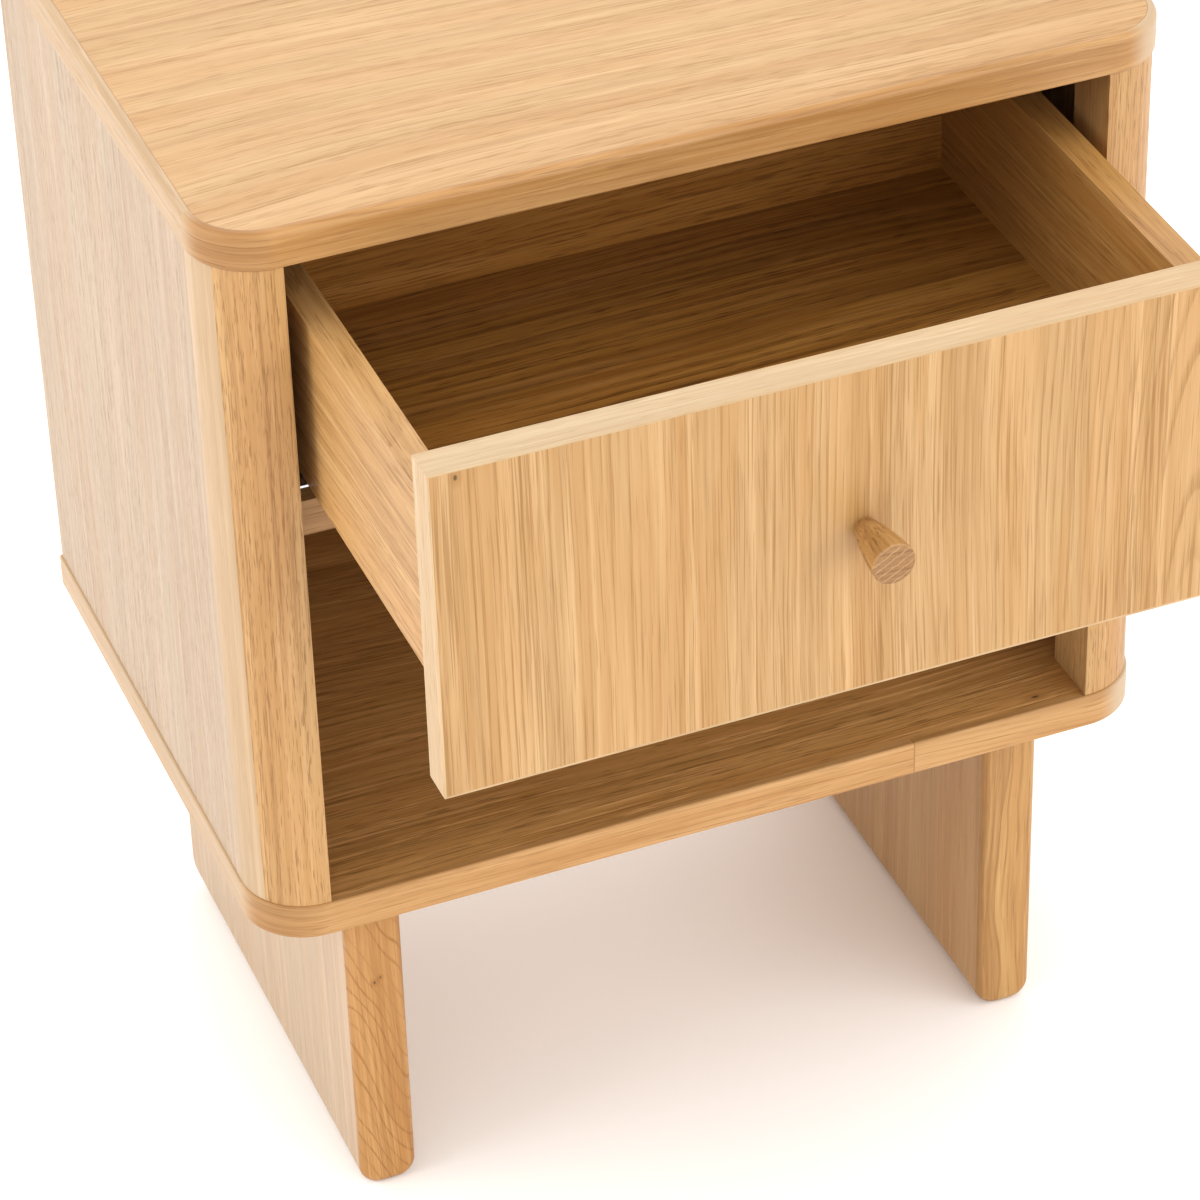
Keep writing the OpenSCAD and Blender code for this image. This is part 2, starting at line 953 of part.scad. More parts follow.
top_panel();
top_front_edging();
left() right_top_edging();  // left_top_edging
right_top_edging();
top_rear_edging();
bottom_panel();
long_bottom_front_edging();
short_bottom_front_edging();
left() right_bottom_edging();  // left_bottom_edging
right_bottom_edging();
bottom_rear_edging();
left() right_side_panel();  // left_side_panel
right_side_panel();
left() right_post();  // left_post
right_post();
left() right_post_lamella();  // left_post_lamella
right_post_lamella();
back_panel();
shelf_panel();
shelf_front_strip();
left() right_packer();  // left_packer
right_packer();
left() right_leg_panel();  // left_leg_panel
right_leg_panel();
left() right_leg_front_edging();  // left_leg_front_edging
right_leg_front_edging();
left() right_leg_rear_edging();  // left_leg_rear_edging
right_leg_rear_edging();
leg_dowels();
carcass_dowels();
shelf_dowels();
packer_screws();
left() right_cabinet_member();  // left_cabinet_member
right_cabinet_member();
runner_screws();
left() right_middle_member();  // left_middle_member
right_middle_member();
drawer_front_panel();
drawer_front_top_edging();
drawer_front_bottom_edging();
left() drawer_front_right_edging();  // drawer_front_left_edging
drawer_front_right_edging();
left() drawer_right_side();  // drawer_left_side
drawer_right_side();
drawer_back();
drawer_bottom();
drawer_dowels();
left() right_drawer_member();  // left_drawer_member
right_drawer_member();
left() right_clip();  // left_clip
right_clip();
clip_screws();
knob();
knob_screw();
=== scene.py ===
"""Oak nightstand with an open drawer: procedural oak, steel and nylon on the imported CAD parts."""

import math

import bpy
from mathutils import Matrix, Vector


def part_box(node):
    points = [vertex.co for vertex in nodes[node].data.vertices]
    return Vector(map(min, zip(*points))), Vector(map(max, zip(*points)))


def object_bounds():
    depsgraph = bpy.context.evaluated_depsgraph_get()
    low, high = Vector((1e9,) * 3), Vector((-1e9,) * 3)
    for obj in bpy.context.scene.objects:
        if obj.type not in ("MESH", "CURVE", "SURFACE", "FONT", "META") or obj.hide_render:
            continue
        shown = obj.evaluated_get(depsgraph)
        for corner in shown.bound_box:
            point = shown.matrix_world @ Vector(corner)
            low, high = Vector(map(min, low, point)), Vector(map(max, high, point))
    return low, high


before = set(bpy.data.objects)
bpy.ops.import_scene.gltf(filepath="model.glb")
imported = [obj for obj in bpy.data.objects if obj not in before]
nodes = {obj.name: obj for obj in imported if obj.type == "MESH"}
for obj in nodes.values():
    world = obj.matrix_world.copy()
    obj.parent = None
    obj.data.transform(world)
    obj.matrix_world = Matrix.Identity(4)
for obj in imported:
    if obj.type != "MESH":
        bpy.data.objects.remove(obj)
cad_low, cad_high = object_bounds()
MM = 0.001

# Oak: how far its grain wavers over a board and over a hand's width, its roughness, the relief
# of its fibres, and the colours of a glue line, of the painted shade in shadow gaps, and of the
# rays in end grain.
WARP_REACH = 55.0 * MM
WOBBLE_REACH = 3.2 * MM
OAK_ROUGHNESS = 0.46
FIBRE_RELIEF = 0.12 * MM
GLUE_AND_SHADOW_LINE = (0.30, 0.135, 0.040)
RAY_COLOUR = (0.39, 0.235, 0.120)

# Eased arrises: facets across each, and the sharpest fold in degrees that is left alone.
ARRIS_SEGMENTS = 3
ARRIS_ANGLE = 40.0


# ---------------------------------------------------------------- node helpers

class Tree:
    """A material's node tree with short calls for the nodes that oak needs."""

    def __init__(self, name):
        self.material = bpy.data.materials.new(name)
        self.material.use_nodes = True
        self.tree = self.material.node_tree
        self.tree.nodes.clear()

    def put(self, kind, inputs=None, **settings):
        """Adds a node. Each of its inputs is linked to a socket or set to a value."""
        node = self.tree.nodes.new(kind)
        for key, value in settings.items():
            setattr(node, key, value)
        for key, value in (inputs or {}).items():
            socket = node.inputs[key]
            if isinstance(value, bpy.types.NodeSocket):
                self.tree.links.new(value, socket)
            else:
                socket.default_value = value
        return node

    def math(self, operation, a, b=0.0):
        return self.put("ShaderNodeMath", {0: a, 1: b}, operation=operation).outputs[0]

    def add(self, a, b):
        return self.math("ADD", a, b)

    def sub(self, a, b):
        return self.math("SUBTRACT", a, b)

    def mul(self, a, b):
        return self.math("MULTIPLY", a, b)

    def vector(self, x, y, z):
        return self.put("ShaderNodeCombineXYZ", {0: x, 1: y, 2: z}).outputs[0]

    def noise(self, vector, scale=1.0, detail=2.0, roughness=0.5, lacunarity=2.0):
        return self.put("ShaderNodeTexNoise",
                        {"Vector": vector, "Scale": scale, "Detail": detail,
                         "Roughness": roughness, "Lacunarity": lacunarity}).outputs["Fac"]

    def step(self, value, low, high, out_low=0.0, out_high=1.0):
        """Smooth step from out_low at low to out_high at high."""
        return self.put("ShaderNodeMapRange",
                        {"Value": value, "From Min": low, "From Max": high, "To Min": out_low,
                         "To Max": out_high}, interpolation_type="SMOOTHSTEP").outputs["Result"]

    def mix(self, factor, a, b, blend="MIX"):
        node = self.put("ShaderNodeMix", {"Factor": factor}, data_type="RGBA", blend_type=blend,
                        clamp_factor=True)
        # Inputs 6 and 7 and output 2 are the node's colours.
        for index, value in ((6, a), (7, b)):
            if isinstance(value, bpy.types.NodeSocket):
                self.tree.links.new(value, node.inputs[index])
            else:
                node.inputs[index].default_value = (*value, 1.0)
        return node.outputs[2]

    def finish(self, bsdf):
        out = self.tree.nodes.new("ShaderNodeOutputMaterial")
        self.tree.links.new(bsdf.outputs[0], out.inputs["Surface"])
        return self.material

    def bumped(self, height, strength, relief, inputs):
        """Ends the tree in a surface with `inputs`, whose bumps are `relief` metres high."""
        bump = self.put("ShaderNodeBump",
                        {"Strength": strength, "Distance": relief, "Height": height})
        return self.finish(self.put("ShaderNodeBsdfPrincipled",
                                    {**inputs, "Normal": bump.outputs[0]}))


# ---------------------------------------------------------------- oak

def blend(a, b, share):
    return tuple((1.0 - share) * i + share * j for i, j in zip(a, b))


def darker(colour, share):
    return tuple((1.0 - share) * c for c in colour)


def heartwood(t, colour, inside, dark):
    """Browner wood where the distance `inside` is negative, with a dark line at its edge."""
    colour = t.mix(t.step(inside, -2.0 * MM, 0.8 * MM, 0.42, 0.0), colour, dark)
    edge = t.step(t.math("ABSOLUTE", inside), 0.2 * MM, 1.4 * MM, 0.60, 0.0)
    return t.mix(edge, colour, darker(dark, 0.1))


def bend_tone_and_highlight(t, colour, x, turned):
    """The left-hand bend is browner halfway round, and both fade into the pale end edgings; on the
    right-hand bends the fade starts early and goes far, which is a painted highlight.
    """
    is_left = t.step(x, -10.0 * MM, 10.0 * MM, 1.0, 0.0)
    halfway = t.mul(t.mul(turned, t.sub(1.0, turned)), 4.0)
    colour = t.mix(t.mul(halfway, is_left), colour, (0.75, 0.70, 0.62), "MULTIPLY")
    # The right-hand bends turn pale early and strongly: painted highlight.
    fade_start = t.step(is_left, 0.0, 1.0, 0.1, 0.7)
    faded = t.mul(t.sub(turned, fade_start), 3.0)
    share = t.mul(t.step(faded, 0.0, 0.9, 0.0, 0.6), t.step(is_left, 0.0, 1.0, 1.5, 1.0))
    return t.mix(share, colour, PALE["pale"])


def end_grain(t, coords, v, w, early, late_tone, early_tone, dot_tone, rays):
    """Colour of cut ends: the rings as thin arcs, the pores as dots, and pale rays over them."""
    tone = t.mix(early, late_tone, early_tone)
    dots = t.step(t.noise(coords, 1500.0, 1.0), 0.50, 0.64, 0.0, 0.5)
    tone = t.mix(dots, tone, dot_tone)
    if rays:
        slope = t.add(t.mul(v, -0.50), t.mul(w, 0.866))
        slope = t.add(t.mul(slope, 1000.0 / 3.6), t.mul(t.noise(coords, 260.0), 0.55))
        streak = t.math("ABSOLUTE", t.sub(t.math("FRACT", slope), 0.5))
        tone = t.mix(t.step(streak, 0.03, 0.13, rays, 0.0), tone, RAY_COLOUR)
    return tone


def pin_knot(t, colour, coords, wobble, dark, place, size, spread):
    """Dark pin knot in a browner ring; `spread` squeezes the axes that it is measured along."""
    offset = t.put("ShaderNodeVectorMath", {0: coords, 1: place}, operation="SUBTRACT")
    offset = t.put("ShaderNodeVectorMath", {0: offset.outputs[0], 1: spread},
                   operation="MULTIPLY")
    far = t.put("ShaderNodeVectorMath", {0: offset.outputs[0]}, operation="LENGTH")
    far = t.add(far.outputs["Value"], t.mul(wobble, size * 0.5))
    colour = t.mix(t.step(far, size * 0.7, size * 3.4, 0.50, 0.0), colour, dark)
    return t.mix(t.step(far, size * 0.35, size * 0.95, 0.92, 0.0), colour, darker(dark, 0.72))


def oiled(t, colour, fibre, pore, pores):
    """Satin oil over the wood: the pores are rougher and sunken, and the fibres stand out."""
    rough = t.step(t.add(t.mul(fibre, 0.5), t.mul(pore, 0.5)), 0.1, 0.9,
                   OAK_ROUGHNESS - 0.05, OAK_ROUGHNESS + 0.12)
    height = t.sub(t.mul(fibre, 0.35), t.mul(pore, 0.9 * pores))
    return t.bumped(height, 0.35, FIBRE_RELIEF,
                    {"Base Color": colour, "Roughness": rough, "Specular IOR Level": 0.36,
                     "Coat Weight": 0.03, "Coat Roughness": 0.42})


def oak(name, along="X", across="Y", seed=0.0, pale=(0.64, 0.41, 0.20), dark=(0.40, 0.21, 0.07),
        tone=1.0, ring=4.0, ring_depth=0.3, ring_line=0.0, figure=1.0, swirl=0.0,
        pith=(0.35, 0.22), tilt=(0.0, 0.0), pores=1.0, pore_size=(19.0, 0.74), lines=1.0,
        cloud=0.4, fleck=0.3, knots=(), heart=None, joint=None, bend=None, rays=0.0,
        end_grey=(0.27, 0.175, 0.11)):
    """Oiled oak.

    `along` is the grain's axis and `across` the axis that the growth rings are counted along;
    `seed` sets one board apart from the next. Lengths are in metres, except that the ring
    spacing `ring`, the rings' wandering `swirl` and the pore marks' length and width `pore_size`
    are in millimetres.

    pith        where the tree's centre lies, across and behind the face; `tilt` is how it runs off
    ring_line   from 0, broad early wood, to 1, fine lines; `ring_depth` is their strength
    tone        contrast of the bands; `cloud`, `fleck`, `lines` and `pores` are the strengths of
                the paler and redder clouds, the pale flecks, the dark lines and the pore marks
    figure      how far the grain wavers
    heart       where browner heartwood ends, counted across
    knots       place, radius and stretch of each pin knot
    joint       gives the distance to a dark joint line: a glue line on boards, painted shade of a shadow gap at the ends of uprights
    bend        gives the places along and behind the face where the grain follows a curve, and how
                far round the curve it is, from 0 to 1
    rays        strength of the pale rays over the end grain, which leans towards `end_grey`
    """
    t = Tree(name)
    texture = t.put("ShaderNodeTexCoord").outputs
    coords = texture["Object"]
    xyz = t.put("ShaderNodeSeparateXYZ", {0: coords}).outputs
    axis = {"X": xyz[0], "Y": xyz[1], "Z": xyz[2]}
    facing = t.put("ShaderNodeSeparateXYZ", {0: texture["Normal"]}).outputs["XYZ".index(along)]
    depth = next(a for a in "XYZ" if a not in (along, across))
    u, v, w = axis[along], axis[across], axis[depth]
    if bend:
        u, w, turned = bend(t, axis)
        facing = 0.0
    shift = seed * 7.31

    def grain(length, width, offset, detail=1.0, roughness=0.5, lacunarity=2.0):
        """Noise whose marks are about `length` along the grain and `width` across it, in mm.
        `offset` only keeps one noise from repeating another."""
        place = t.vector(t.mul(u, 1000.0 / length),
                         t.add(t.mul(waver, 1000.0 / width), shift + offset),
                         t.mul(w, 1000.0 / width))
        return t.noise(place, 1.0, detail, roughness, lacunarity)

    # The long warp of the grain, then the growth rings.
    waver = v
    warp = t.sub(grain(650, 200, 0.0), 0.5)
    wobble = t.sub(grain(95, 24, 3.0), 0.5)
    waver = t.add(t.add(v, t.mul(warp, WARP_REACH * figure)),
                  t.mul(wobble, WOBBLE_REACH * figure))
    dv = t.add(t.add(waver, pith[0]), t.mul(u, tilt[0]))
    dw = t.add(t.add(w, pith[1]), t.mul(u, tilt[1]))
    radius = t.math("SQRT", t.add(t.mul(dv, dv), t.mul(dw, dw)))
    if swirl:
        radius = t.add(radius, t.mul(t.sub(grain(75, 24, 5.0, 1.0), 0.5), swirl * MM))
    count = t.mul(radius, 1000.0 / ring)
    phase = t.math("FRACT", count)
    early = t.mul(t.step(phase, 0.0, 0.08),
                  t.step(phase, 0.12, 0.70 - 0.46 * ring_line, 1.0, 0.0))
    # Each ring has a strength of its own, which changes slowly along the grain.
    ring_id = t.vector(t.mul(t.math("FLOOR", count), 3.17), shift, t.mul(u, 6.0))
    early = t.mul(early, t.step(t.noise(ring_id, 1.0, 1.0), 0.34, 0.66, 0.12, 1.0))

    # Tone in bands of about 20, 6, 2 and 0.6 mm, then hue, pores, dark lines and pale flecks.
    bands = grain(1100, 20, 11.0, 3.0, 0.78, 3.2)
    hue = grain(420, 30, 17.0)
    warm = grain(150, 12, 41.0)
    fibre = grain(85, 0.80, 23.0, 1.5, 0.6)
    dash = grain(pore_size[0], pore_size[1], 29.0)
    line = grain(120, 1.25, 31.0, 1.5, 0.55)
    pale_mark = grain(60, 1.8, 37.0)
    pale_band = grain(260, 8, 47.0)
    # Marks crowd together in the early wood and in some zones, and thin out in others.
    zone = t.mul(t.sub(grain(700, 26, 43.0), 0.5), 0.20)
    crowd = t.add(t.step(early, 0.0, 0.8, -0.02, 0.06), zone)
    pore = t.step(t.add(dash, crowd), 0.58, 0.68)
    line = t.add(line, zone)

    middle = blend(pale, dark, 0.42)
    light = tuple(min(0.95, c * 1.16 + 0.03) for c in pale)
    colour = t.mix(t.step(bands, 0.5 - 0.17 / tone, 0.5 + 0.16 / tone), blend(pale, dark, 0.66),
                   pale)
    colour = t.mix(t.step(hue, 0.42, 0.64, 0.0, 0.40), colour,
                   (middle[0] * 1.14, middle[1] * 0.98, middle[2] * 0.84))
    colour = t.mix(t.step(warm, 0.50, 0.68, 0.0, cloud), colour,
                   (middle[0] * 1.02, middle[1] * 0.90, middle[2] * 0.72))
    colour = t.mix(t.step(pale_band, 0.52, 0.70, 0.0, cloud), colour, light)
    colour = t.mix(t.mul(early, ring_depth), colour, dark)
    if heart is not None:
        colour = heartwood(t, colour, t.sub(t.add(v, t.mul(wobble, 20.0 * MM)), heart), dark)
    colour = t.mix(t.step(fibre, 0.36, 0.66, 0.0, 0.42), colour, middle)
    colour = t.mix(t.step(pale_mark, 0.58, 0.70, 0.0, fleck), colour, light)
    colour = t.mix(t.step(line, 0.56, 0.70, 0.0, 0.62 * lines), colour, darker(dark, 0.05))
    colour = t.mix(t.mul(pore, 0.66 * pores), colour, darker(dark, 0.22))

    # Curved edgings get their bend tone, with a painted highlight on the right-hand bends.
    if bend:
        colour = bend_tone_and_highlight(t, colour, axis["X"], turned)

    cut = end_grain(t, coords, v, w, early, blend(middle, end_grey, 0.40),
                    blend(dark, end_grey, 0.35), darker(dark, 0.25), rays)
    colour = t.mix(t.step(t.math("ABSOLUTE", facing), 0.50, 0.98, 0.0, 0.8), colour, cut)
    for place, size, stretch in knots:
        spread = [1.0, 1.0, 1.0]
        spread["XYZ".index(along)] = 1.0 / stretch
        colour = pin_knot(t, colour, coords, wobble, dark, place, size, spread)
    if joint:
        near = t.math("ABSOLUTE", joint(t, axis))
        # Dark joint line: a glue line, and at the ends of uprights painted shade of a shadow gap.
        colour = t.mix(t.step(near, 0.2 * MM, 0.6 * MM, 0.85, 0.0), colour, GLUE_AND_SHADOW_LINE)
    return oiled(t, colour, fibre, pore, pores)


def zinc(name, colour, rough, along="Y"):
    """Rolled or plated steel, with faint drawing lines along the profile."""
    t = Tree(name)
    coords = t.put("ShaderNodeTexCoord").outputs["Object"]
    xyz = t.put("ShaderNodeSeparateXYZ", {0: coords}).outputs
    stretched = [t.mul(xyz[i], 25.0 if "XYZ"[i] == along else 2600.0) for i in range(3)]
    lines = t.noise(t.vector(*stretched), 1.0, 2.0)
    spangle = t.noise(coords, 260.0, 2.0)
    tone = t.mix(t.step(spangle, 0.35, 0.68, 0.0, 0.5), colour, tuple(0.72 * c for c in colour))
    rough = t.step(lines, 0.2, 0.8, rough - 0.08, rough + 0.12)
    return t.bumped(lines, 0.2, 0.05 * MM, {"Base Color": tone, "Metallic": 1.0,
                                            "Roughness": rough})


def moulded(name, colour):
    """Matt moulded nylon with a fine spark-eroded texture."""
    t = Tree(name)
    coords = t.put("ShaderNodeTexCoord").outputs["Object"]
    grit = t.noise(coords, 2400.0, 2.0)
    haze = t.noise(coords, 90.0, 2.0)
    tone = t.mix(t.step(haze, 0.3, 0.7, 0.0, 0.35), colour, tuple(1.3 * c for c in colour))
    rough = t.step(grit, 0.3, 0.7, 0.46, 0.62)
    return t.bumped(grit, 0.3, 0.08 * MM, {"Base Color": tone, "Roughness": rough})


def dress(node, material):
    """Gives a carried-over CAD node its material."""
    slots = nodes[node].data.materials
    slots.clear()
    slots.append(material)


def soften(node, width):
    """Eases the node's arrises without touching its mesh."""
    bevel = nodes[node].modifiers.new("eased_arris", "BEVEL")
    bevel.width = width
    bevel.segments = ARRIS_SEGMENTS
    bevel.limit_method = "ANGLE"
    bevel.angle_limit = math.radians(ARRIS_ANGLE)
    bevel.use_clamp_overlap = True
    bevel.harden_normals = False


# ---------------------------------------------------------------- colours
# The palest and darkest wood of each kind of piece. The inner pieces, the drawer's shaded side and
# the right leg's side are darker copies, which is painted shade.

TOP = dict(pale=(0.495, 0.308, 0.135), dark=(0.325, 0.165, 0.048))
SIDE = dict(pale=(0.405, 0.303, 0.206), dark=(0.290, 0.181, 0.100))
FRONT = dict(pale=(0.480, 0.300, 0.134), dark=(0.272, 0.128, 0.026))
SOLID = dict(pale=(0.475, 0.272, 0.103), dark=(0.280, 0.124, 0.030))
PALE = dict(pale=(0.440, 0.315, 0.192), dark=(0.340, 0.210, 0.098))
STRIP = dict(pale=(0.500, 0.372, 0.220), dark=(0.360, 0.222, 0.100))
# Darker and more saturated than the other boards: painted shade inside the carcass.
INNER_PAINTED_SHADE = dict(pale=(0.450, 0.250, 0.078), dark=(0.185, 0.080, 0.016))
BOX = dict(pale=(0.490, 0.280, 0.102), dark=(0.270, 0.124, 0.030))
BOX_SHADED = dict(pale=(0.450, 0.240, 0.068), dark=(0.245, 0.105, 0.022))
POST = dict(pale=(0.485, 0.290, 0.116), dark=(0.285, 0.130, 0.033))
LEFT_LEG = dict(pale=(0.446, 0.234, 0.070), dark=(0.236, 0.086, 0.014))
RIGHT_LEG = dict(pale=(0.468, 0.268, 0.092), dark=(0.242, 0.104, 0.024))
# A lit and a shaded copy of the leg veneer: the right leg's is browner and more saturated, which is
# painted shade on its inner face.
LEG_SIDES_LIT_AND_SHADED = {"left": dict(pale=(0.440, 0.325, 0.218), dark=(0.350, 0.232, 0.138)),
             "right": dict(pale=(0.465, 0.280, 0.125), dark=(0.312, 0.161, 0.058))}

# ---------------------------------------------------------------- measures and glue lines

top_low, top_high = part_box("top_panel")
front_low, front_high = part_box("drawer_front_panel")
leg_low, leg_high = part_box("left_leg_front_edging")
bottom_low, bottom_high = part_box("long_bottom_front_edging")
edge_low, edge_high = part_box("top_front_edging")
edging_width = edge_high.x - top_high.x
corner = edge_high.y - edge_low.y


def ends_shadow_joint(low, high):
    """Distance to the two level joints at the ends of an upright piece, whose dark line is painted
    shade of a shadow gap.
    """
    def distance(t, axis):
        return t.math("MINIMUM", t.math("ABSOLUTE", t.sub(axis["Z"], low)),
                      t.math("ABSOLUTE", t.sub(axis["Z"], high)))
    return distance


def butt_joint(t, axis):
    """Distance to the upright joint in the bottom board's front edging."""
    return t.sub(axis["X"], bottom_high.x)


def board_joint(t, axis):
    """Distance to the glue line between a board and its edging, round both front corners."""
    inner = corner - edging_width
    across = t.sub(t.math("ABSOLUTE", axis["X"]), top_high.x - inner)
    ahead = t.sub(top_low.y + inner, axis["Y"])
    far = t.math("SQRT", t.add(t.math("POWER", t.math("MAXIMUM", across, 0.0), 2.0),
                               t.math("POWER", t.math("MAXIMUM", ahead, 0.0), 2.0)))
    return t.sub(far, inner)


def round_corners(t, axis):
    """Grain that runs round both front corners: the places along and behind the edging, and the
    share of the quarter turn."""
    straight = edge_high.x - corner
    aside = t.math("ABSOLUTE", axis["X"])
    across = t.math("MAXIMUM", t.sub(aside, straight), 0.0)
    ahead = t.sub(edge_high.y, axis["Y"])
    angle = t.math("ARCTAN2", across, ahead)
    along = t.add(t.math("MINIMUM", aside, straight), t.mul(angle, corner))
    behind = t.math("SQRT", t.add(t.mul(across, across), t.mul(ahead, ahead)))
    return t.mul(along, t.math("SIGN", axis["X"])), behind, t.mul(angle, 2.0 / math.pi)


# ---------------------------------------------------------------- cabinet

dress("top_panel", oak("oak_top", "X", "Y", 1.3, tone=0.85, ring=4.6, ring_depth=0.22,
                       pith=(0.9, 0.5), pores=0.6, lines=0.7, cloud=0.3, joint=board_joint, **TOP))
dress("bottom_panel", oak("oak_niche_floor", "X", "Y", 2.1, tone=1.3, ring=4.2, pith=(0.7, 0.35),
                          pale=(0.555, 0.302, 0.100), dark=(0.245, 0.113, 0.027), fleck=0.7,
                          knots=(((top_high.x - 57.7 * MM, bottom_low.y + 11.2 * MM, bottom_high.z),
                                  1.3 * MM, 2.6),)))
for number, node in enumerate(("top_front_edging", "top_rear_edging", "long_bottom_front_edging",
                               "short_bottom_front_edging", "bottom_rear_edging")):
    dress(node, oak("oak_" + node, "X", "Z", 3.0 + number, tone=1.2, ring=3.4, ring_depth=0.5,
                    ring_line=0.5, pith=(0.12, 0.10), tilt=(0.035, 0.0), figure=0.5, pores=0.5,
                    lines=0.8, joint=butt_joint if "bottom_front" in node else None,
                    bend=round_corners if "front" in node else None, **SOLID))
for number, node in enumerate(("left_top_edging", "right_top_edging", "left_bottom_edging",
                               "right_bottom_edging")):
    dress(node, oak("oak_" + node, "Y", "Z", 8.0 + number, ring=5.0, pith=(0.12, 0.10),
                    tilt=(0.02, 0.0), figure=0.5, pores=0.3, lines=0.4, **PALE))
# The dark lines where the uprights meet the top and the bottom board are painted shade of shadow
# gaps.
wall_ends = ends_shadow_joint(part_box("left_post")[0].z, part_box("left_post")[1].z)
for number, node in enumerate(("left_side_panel", "right_side_panel")):
    dress(node, oak("oak_" + node, "Z", "Y", 12.0 + number, tone=0.8, ring=6.0, ring_depth=0.18,
                    pith=(1.2, 0.5), pores=0.8, pore_size=(9.0, 0.5), lines=0.5, fleck=0.45,
                    joint=wall_ends, **SIDE))
for number, node in enumerate(("left_post", "right_post")):
    dress(node, oak("oak_" + node, "Z", "X", 14.0 + number, ring=4.6, pith=(0.40, 0.05),
                    figure=0.35, pores=1.0, pore_size=(12.0, 0.62), lines=0.8,
                    joint=wall_ends, **POST))
    dress(node + "_lamella", oak("oak_" + node + "_lamella", "Z", "Y", 16.0 + number, tone=0.7,
                                 ring=6.0, ring_depth=0.15, pith=(0.5, 0.1), figure=0.3, pores=0.2,
                                 lines=0.25, joint=wall_ends, **PALE))
dress("back_panel", oak("oak_back", "X", "Z", 18.0, ring=5.0, pith=(0.8, 0.3), **INNER_PAINTED_SHADE))
dress("shelf_panel", oak("oak_shelf", "X", "Y", 19.0, ring=5.0, pith=(0.8, 0.3), **INNER_PAINTED_SHADE))
dress("shelf_front_strip", oak("oak_shelf_strip", "X", "Z", 20.0, ring=4.0, figure=0.4, **SOLID))
for number, node in enumerate(("left_packer", "right_packer")):
    dress(node, oak("oak_" + node, "Y", "Z", 21.0 + number, ring=5.0, **INNER_PAINTED_SHADE))
for number, side in enumerate(("left", "right")):
    dress(side + "_leg_panel", oak("oak_" + side + "_leg", "Z", "Y", 23.0 + number, tone=0.8,
                                   ring=5.5, ring_depth=0.15, pith=(0.9, 0.4), pores=0.2,
                                   lines=0.25, fleck=0.35, **LEG_SIDES_LIT_AND_SHADED[side]))
knot_z = 0.69 * leg_high.z
left_knots = (((leg_low.x + 13.9 * MM, leg_low.y, knot_z), 1.0 * MM, 1.3),
              ((leg_low.x + 17.3 * MM, leg_low.y, knot_z + 2.5 * MM), 0.8 * MM, 1.3))
for end in ("front", "rear"):
    dress("left_leg_" + end + "_edging",
          oak("oak_left_leg_" + end, "Z", "X", 25.0, ring=7.2, ring_depth=0.70, ring_line=0.9,
              swirl=20.0, pith=(0.30, 0.02), tilt=(0.46, 0.0), pores=0.35, lines=0.5,
              knots=left_knots if end == "front" else (), **LEFT_LEG))
    dress("right_leg_" + end + "_edging",
          oak("oak_right_leg_" + end, "Z", "X", 26.0, ring=5.0, ring_depth=0.55, ring_line=0.6,
              swirl=14.0, pith=(0.30, 0.02), tilt=(0.02, 0.0), pores=0.5, lines=0.9,
              heart=-leg_high.x + 11.0 * MM, **RIGHT_LEG))
beech = oak("beech_dowel", "Z", "X", 30.0, ring=3.0, pores=0.3, pale=(0.54, 0.39, 0.24),
            dark=(0.41, 0.27, 0.15))
for node in ("leg_dowels", "carcass_dowels", "shelf_dowels", "drawer_dowels"):
    dress(node, beech)

# ---------------------------------------------------------------- drawer

dress("drawer_front_panel", oak("oak_drawer_front", "Z", "X", 31.0, tone=0.85, ring=4.0,
                                pith=(-170.0 * MM, -28.0 * MM - front_low.y), tilt=(0.0, 0.10),
                                ring_depth=0.55, ring_line=0.5, figure=0.6, pores=0.65,
                                pore_size=(38.0, 0.58), lines=1.05, cloud=0.5, fleck=0.1,
                                knots=(((front_low.x + 12.1 * MM, front_low.y,
                                         front_high.z - 3.0 * MM), 1.4 * MM, 1.6),), **FRONT))
for number, end in enumerate(("top", "bottom")):
    node = "drawer_front_" + end + "_edging"
    dress(node, oak("oak_" + node, "X", "Y", 32.0 + number, ring=4.0, figure=0.4, pores=0.5,
                    lines=0.6, **STRIP))
for number, end in enumerate(("left", "right")):
    node = "drawer_front_" + end + "_edging"
    dress(node, oak("oak_" + node, "Z", "Y", 34.0 + number, ring=4.0, figure=0.4, pores=0.5,
                    lines=0.6, **STRIP))
    node = "drawer_" + end + "_side"
    dress(node, oak("oak_" + node, "Y", "Z", 36.0 + number, ring=4.2, pith=(0.2, 0.2),
                    tilt=(0.05, 0.0), figure=0.7, pores=0.8, tone=1.2,
                    **(BOX if end == "left" else BOX_SHADED)))
# The drawer's back and bottom are much darker and more saturated than its sides: painted shade
# inside the drawer.
dress("drawer_back", oak("oak_drawer_back", "X", "Z", 38.0, tone=1.3, ring=5.0, pith=(0.1, 0.2),
                         pale=(0.445, 0.208, 0.042), dark=(0.205, 0.076, 0.010)))
dress("drawer_bottom", oak("oak_drawer_bottom", "X", "Y", 39.0, tone=1.9, ring=5.0, ring_depth=0.6,
                           pith=(0.9, 0.4), pale=(0.405, 0.188, 0.036), dark=(0.112, 0.036, 0.004)))
dress("knob", oak("oak_knob", "Y", "X", 40.0, ring=3.2, pith=(0.05, 0.03), figure=0.2, pores=0.5,
                  pore_size=(45.0, 0.8), lines=1.4, rays=0.85, pale=(0.43, 0.235, 0.075),
                  dark=(0.21, 0.090, 0.023), end_grey=(0.115, 0.050, 0.024)))

# ---------------------------------------------------------------- metal and nylon

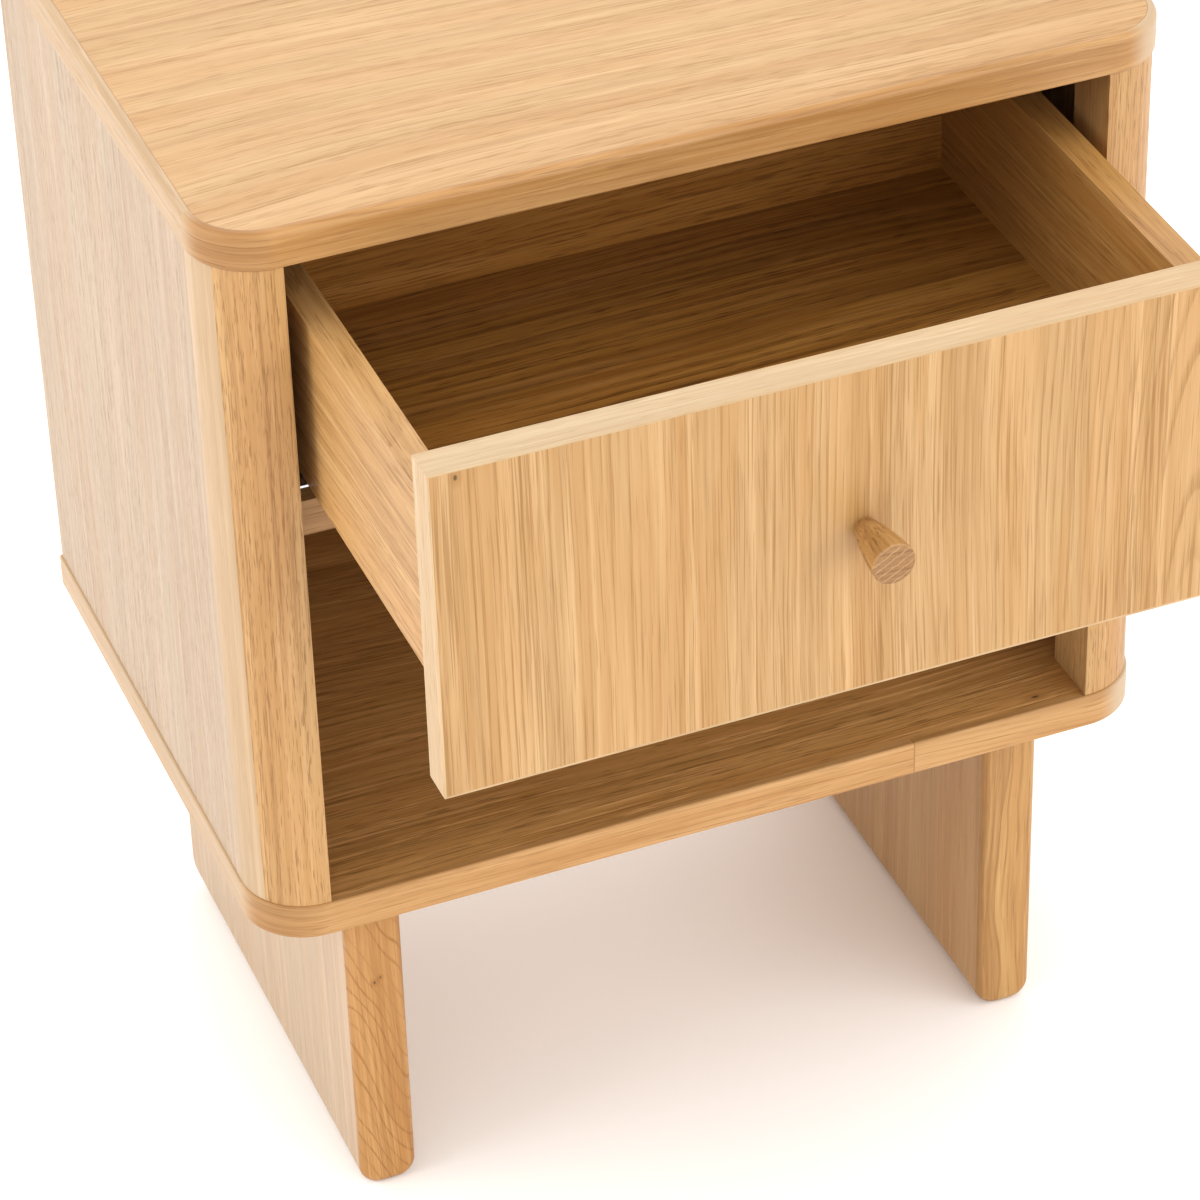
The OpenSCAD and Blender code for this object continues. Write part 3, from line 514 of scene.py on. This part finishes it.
runner = zinc("zinc_runner", (0.74, 0.75, 0.76), 0.30)
for side in ("left", "right"):
    for member in ("cabinet", "middle", "drawer"):
        dress(side + "_" + member + "_member", runner)
    dress(side + "_clip", moulded("nylon_" + side + "_clip", (0.16, 0.165, 0.175)))
screw = zinc("zinc_screw", (0.66, 0.66, 0.64), 0.28, "X")
for node in ("packer_screws", "runner_screws", "clip_screws", "knob_screw"):
    dress(node, screw)

# ---------------------------------------------------------------- eased arrises

for node, width in (("drawer_front_top_edging", 0.5), ("drawer_front_left_edging", 0.5),
                    ("drawer_front_right_edging", 0.5), ("drawer_front_bottom_edging", 0.5),
                    ("drawer_left_side", 0.8), ("drawer_right_side", 0.8), ("drawer_back", 0.8),
                    ("left_post", 0.7), ("right_post", 0.7), ("left_post_lamella", 0.5),
                    ("left_side_panel", 0.5), ("right_side_panel", 0.5),
                    ("right_post_lamella", 0.5), ("shelf_front_strip", 0.6)):
    soften(node, width * MM)

# ---------------------------------------------------------------- floor

FLOOR_REACH = 6.0
floor_mesh = bpy.data.meshes.new("floor")
corners = [(x * FLOOR_REACH, y * FLOOR_REACH, 0) for x, y in ((-1, -1), (1, -1), (1, 1), (-1, 1))]
floor_mesh.from_pydata(corners, [], [(0, 1, 2, 3)])
floor = bpy.data.objects.new("floor", floor_mesh)
bpy.context.scene.collection.objects.link(floor)
paper = Tree("studio_paper")
paper_bsdf = paper.put("ShaderNodeBsdfPrincipled", {"Base Color": (0.965, 0.945, 0.928, 1.0),
                                                    "Roughness": 0.7, "Specular IOR Level": 0.15})
floor_mesh.materials.append(paper.finish(paper_bsdf))

# ---------------------------------------------------------------- light

bpy.context.scene.view_settings.view_transform = "Standard"
world = bpy.data.worlds.new("studio")
bpy.context.scene.world = world
world.use_nodes = True
background = world.node_tree.nodes["Background"]
background.inputs["Color"].default_value = (1.0, 0.99, 0.98, 1.0)
background.inputs["Strength"].default_value = 1.30

LAMP_COLOUR = (1.0, 0.995, 0.985)
centre = (cad_low + cad_high) / 2


def softbox(name, place, size, power):
    """Soft rectangular light aimed at the middle of the object; metres and watts."""
    light = bpy.data.lights.new(name, "AREA")
    light.shape = "RECTANGLE"
    light.size, light.size_y = size
    light.energy = power
    light.color = LAMP_COLOUR
    holder = bpy.data.objects.new(name, light)
    bpy.context.scene.collection.objects.link(holder)
    holder.location = place
    holder.rotation_mode = "QUATERNION"
    holder.rotation_quaternion = (centre - Vector(place)).to_track_quat("-Z", "Y")


softbox("top", (0.0, 0.2, 2.8), (2.4, 2.4), 7.0)
softbox("front", (0.6, -3.0, 1.2), (2.4, 1.6), 26.0)
softbox("front_right", (2.2, -1.9, 2.0), (1.8, 1.8), 24.0)
softbox("left", (-2.6, 0.1, 1.5), (2.0, 1.8), 33.0)
softbox("behind", (0.35, 2.2, 2.3), (2.0, 1.2), 14.0)

# ---------------------------------------------------------------- camera

# Millimetres, then degrees.
SENSOR, LENS = 36.0, 145.5
AZIMUTH, ELEVATION, ROLL = -20.96, 35.90, -1.85
cam_data = bpy.data.cameras.new("camera")
camera = bpy.data.objects.new("camera", cam_data)
bpy.context.scene.collection.objects.link(camera)
bpy.context.scene.camera = camera
cam_data.sensor_width = SENSOR
cam_data.lens = LENS
azimuth, elevation, roll = (math.radians(angle) for angle in (AZIMUTH, ELEVATION, ROLL))
back = Vector((math.sin(azimuth) * math.cos(elevation), -math.cos(azimuth) * math.cos(elevation),
               math.sin(elevation)))
right = (-back).cross(Vector((0, 0, 1))).normalized()
down = (-back).cross(right)
right_rolled = math.cos(roll) * right - math.sin(roll) * down
down_rolled = (-back).cross(right_rolled)
# The camera stands in front, to the left and above, measured from the boards' front plane and
# from the top.
camera.location = (-0.76083, bottom_low.y - 1.82382, top_high.z + 1.16073)
camera.rotation_mode = "QUATERNION"
camera.rotation_quaternion = Matrix((right_rolled, -down_rolled, back)).transposed().to_quaternion()
cam_data.clip_start, cam_data.clip_end = 0.05, 60.0
